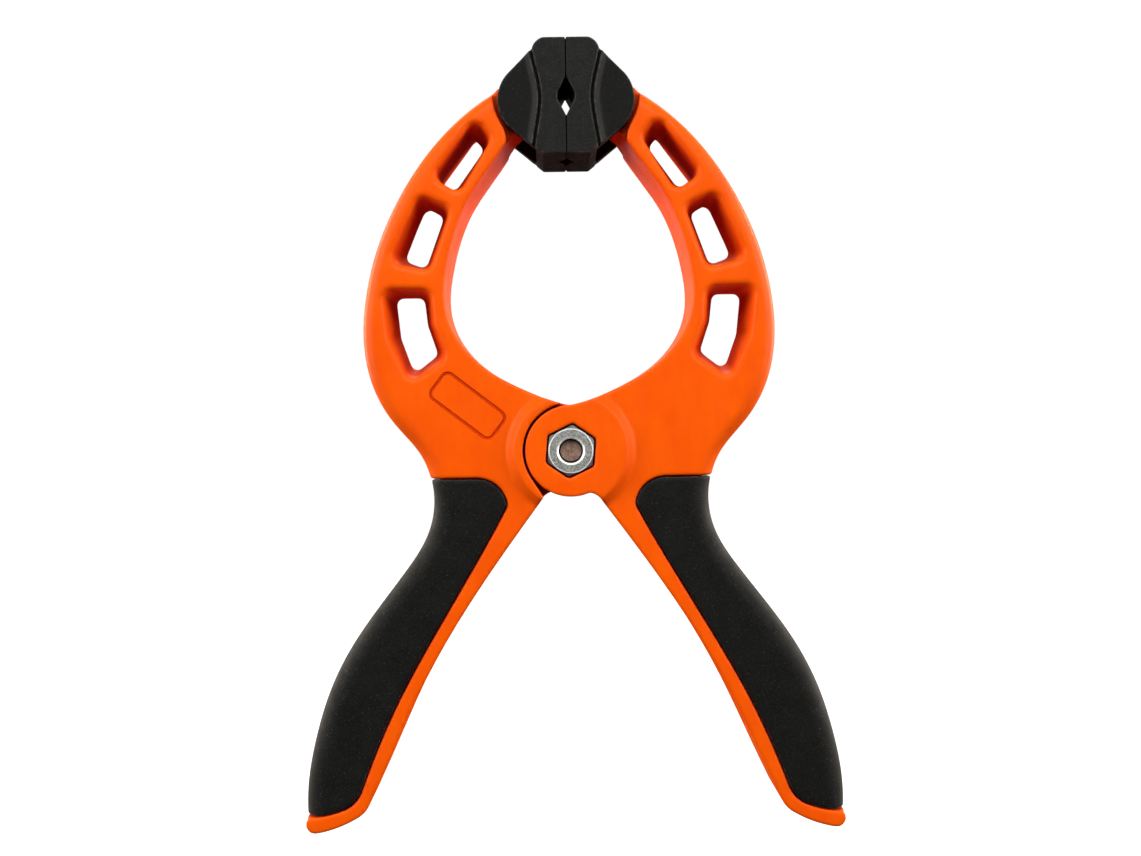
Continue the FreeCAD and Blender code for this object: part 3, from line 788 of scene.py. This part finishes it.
def make_pads(material):
    """Left jaw pad with the lips of its cheeks, and the right one turned from it."""
    mesh = welded_copy("left_jaw_pad")
    raised = block_face_tree(mesh)
    left = new_piece("left_pad_moulding", mesh)
    voxel, passes, triangles = PAD_MESH
    even_mesh(left, voxel, passes)
    shape_cheeks(left.data, raised)
    close_gap(left.data)
    reduce_triangles(left, triangles)
    left.data.shade_smooth()
    right = turned_copy(left, "right_pad_moulding")
    finish_piece(left, material, "left_jaw", "left_jaw_pad")
    finish_piece(right, material, "right_jaw", "right_jaw_pad")


# ---------------------------------------------------------------- bolt, nut and bush

def hexagon(angle):
    """Distance from the axis to the side of a hexagon at an angle."""
    sector = math.radians(60)
    local = (angle + HEX_TURN - math.radians(90) + sector / 2) % sector - sector / 2
    return HEX_APOTHEM / math.cos(sector / 2 - abs(local))


def chamfered_hexagon_rings(face, inwards):
    """Round edge of a hexagon's end face and the scalloped edge of its chamfer."""
    def scallop(angle):
        return face + inwards * (hexagon(angle) - HEX_FACE_RADIUS) * math.tan(HEX_CHAMFER_SLOPE)

    return [ring_about_pivot(steady(HEX_FACE_RADIUS), face), ring_about_pivot(hexagon, scallop)]


def thread(root, crest, y):
    """Radius of an M6 thread at depth y, as a function of the angle."""
    def radius(angle):
        phase = (y / THREAD_PITCH + angle / (2 * math.pi)) % 1.0
        height = 1.0 - abs(2.0 * phase - 1.0)
        height = min(max((height - THREAD_FLAT) / (1.0 - 2.0 * THREAD_FLAT), 0.0), 1.0)
        return root + (crest - root) * height

    return radius


def thread_depths(low, high):
    """Depths of the rings along a thread."""
    count = max(int((high - low) / THREAD_PITCH * THREAD_STEPS), 1)
    return [low + (high - low) * i / count for i in range(count + 1)]


def make_bolt(material):
    """Threaded shank with a chamfered tip and a chamfered hexagonal head."""
    tip = BOLT_LOW.y
    top = BOLT_HIGH.y
    rings = []
    for y in thread_depths(tip, HEAD_UNDERSIDE):
        limit = THREAD_OUTER - max(TIP_CHAMFER - (y - tip), 0.0)
        profile = thread(THREAD_ROOT, THREAD_OUTER, y)
        rings.append(ring_about_pivot(lambda angle: min(profile(angle), limit), y))
    rings.append(ring_about_pivot(hexagon, HEAD_UNDERSIDE))
    rings.extend(chamfered_hexagon_rings(top, -1)[::-1])
    mesh = grid_mesh("pivot_bolt_steel", rings, False, True)
    smooth_with_creases(mesh, MACHINED_CREASE)
    bolt = new_piece("pivot_bolt_steel", mesh)
    finish_piece(bolt, material, "left_half", "pivot_bolt")


def make_nut(material):
    """Nut with chamfers on both faces, countersunk at both ends of its thread."""
    front = NUT_LOW.y
    back = NUT_HIGH.y
    rings = chamfered_hexagon_rings(front, 1) + chamfered_hexagon_rings(back, -1)[::-1]
    rings.append(ring_about_pivot(steady(SINK_RADIUS), back))
    for y in reversed(thread_depths(front, back)):
        sink = SINK_RADIUS - min(y - front, back - y)
        profile = thread(NUT_THREAD_INNER, THREAD_OUTER + THREAD_ROOM, y)
        rings.append(ring_about_pivot(lambda angle: max(profile(angle), sink), y))
    mesh = grid_mesh("pivot_nut_steel", rings, True, False)
    smooth_with_creases(mesh, MACHINED_CREASE)
    nut = new_piece("pivot_nut_steel", mesh)
    finish_piece(nut, material, "right_half", "pivot_nut")


def make_bush(material):
    """Tube with rounded ends between the two inner ears."""
    outer = BUSH_HIGH.x - PIVOT.x
    inner = THREAD_OUTER + THREAD_ROOM / 2
    rings = []
    for end, face in ((-1, BUSH_LOW.y), (1, BUSH_HIGH.y)):
        for i in range(BUSH_EDGE_STEPS + 1):
            angle = math.radians(90) * (i if end < 0 else BUSH_EDGE_STEPS - i) / BUSH_EDGE_STEPS
            rings.append(ring_about_pivot(steady(outer - BUSH_EDGE + BUSH_EDGE * math.sin(angle)),
                                          face - end * BUSH_EDGE * (1 - math.cos(angle))))
    rings.append(ring_about_pivot(steady(inner), BUSH_HIGH.y))
    rings.append(ring_about_pivot(steady(inner), BUSH_LOW.y))
    mesh = grid_mesh("spring_bush_sleeve", rings, True, False)
    smooth_with_creases(mesh, BUSH_CREASE)
    bush = new_piece("spring_bush_sleeve", mesh)
    finish_piece(bush, material, "left_half", "spring_bush")


# ---------------------------------------------------------------- torsion spring

def spring_path():
    """Middle line of the wire: a leg down each handle, tangent to a close coil round the bush."""
    leave = math.pi / 2 - LEG_ANGLE
    sweep = COIL_WHOLE_TURNS * 2 * math.pi + math.pi - 2 * leave
    height = COIL_PITCH * sweep / (2 * math.pi)

    def on_coil(part):
        angle = leave + sweep * part
        across = COIL_RADIUS * math.cos(angle)
        upwards = COIL_RADIUS * math.sin(angle)
        return Vector((across, height * (0.5 - part), upwards))

    right_way = Vector((math.cos(LEG_ANGLE), 0, -math.sin(LEG_ANGLE)))
    left_way = Vector((-math.cos(LEG_ANGLE), 0, -math.sin(LEG_ANGLE)))
    points = [on_coil(0) + right_way * LEG_LENGTH * (1 - i / LEG_STEPS) for i in range(LEG_STEPS)]
    points += [on_coil(i / COIL_STEPS) for i in range(COIL_STEPS + 1)]
    points += [on_coil(1) + left_way * LEG_LENGTH * (i + 1) / LEG_STEPS for i in range(LEG_STEPS)]
    return [PIVOT + point for point in points]


def wire_mesh(name, path, radius):
    """Round wire along a path, with slightly rounded ends."""
    rings = []
    up = Vector((0, 1, 0))
    last = len(path) - 1
    round_end = radius * WIRE_END_ROUND
    for i, point in enumerate(path):
        way = (path[min(i + 1, last)] - path[max(i - 1, 0)]).normalized()
        side = way.cross(up).normalized()
        over = side.cross(way).normalized()

        def ring(centre, reach):
            return [tuple(centre + (side * math.cos(a) + over * math.sin(a)) * reach)
                    for a in (2 * math.pi * j / WIRE_SIDES for j in range(WIRE_SIDES))]

        if i == 0:
            rings.append(ring(point, radius - round_end))
            rings.append(ring(point + way * round_end * WIRE_END_ROUND, radius - round_end * WIRE_END_ROUND))
            rings.append(ring(point + way * round_end, radius))
        elif i == last:
            rings.append(ring(point - way * round_end, radius))
            rings.append(ring(point - way * round_end * WIRE_END_ROUND, radius - round_end * WIRE_END_ROUND))
            rings.append(ring(point, radius - round_end))
        else:
            rings.append(ring(point, radius))
    return grid_mesh(name, rings, False, True)


def make_spring(material):
    """Torsion spring wire with a leg down each handle, made in place of the CAD spring."""
    mesh = wire_mesh("torsion_spring_wire", spring_path(), WIRE_RADIUS)
    smooth_with_creases(mesh, MOULDED_CREASE)
    spring = new_piece("torsion_spring_wire", mesh)
    spring.data.materials.append(material)
    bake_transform(spring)
    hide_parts("torsion_spring")


make_camera()
make_studio()
make_frames(orange_nylon())
make_grips(soft_grip())
make_pads(black_nylon())
make_bolt(bolt_steel())
make_nut(nut_steel())
make_bush(bush_nylon())
make_spring(spring_steel())
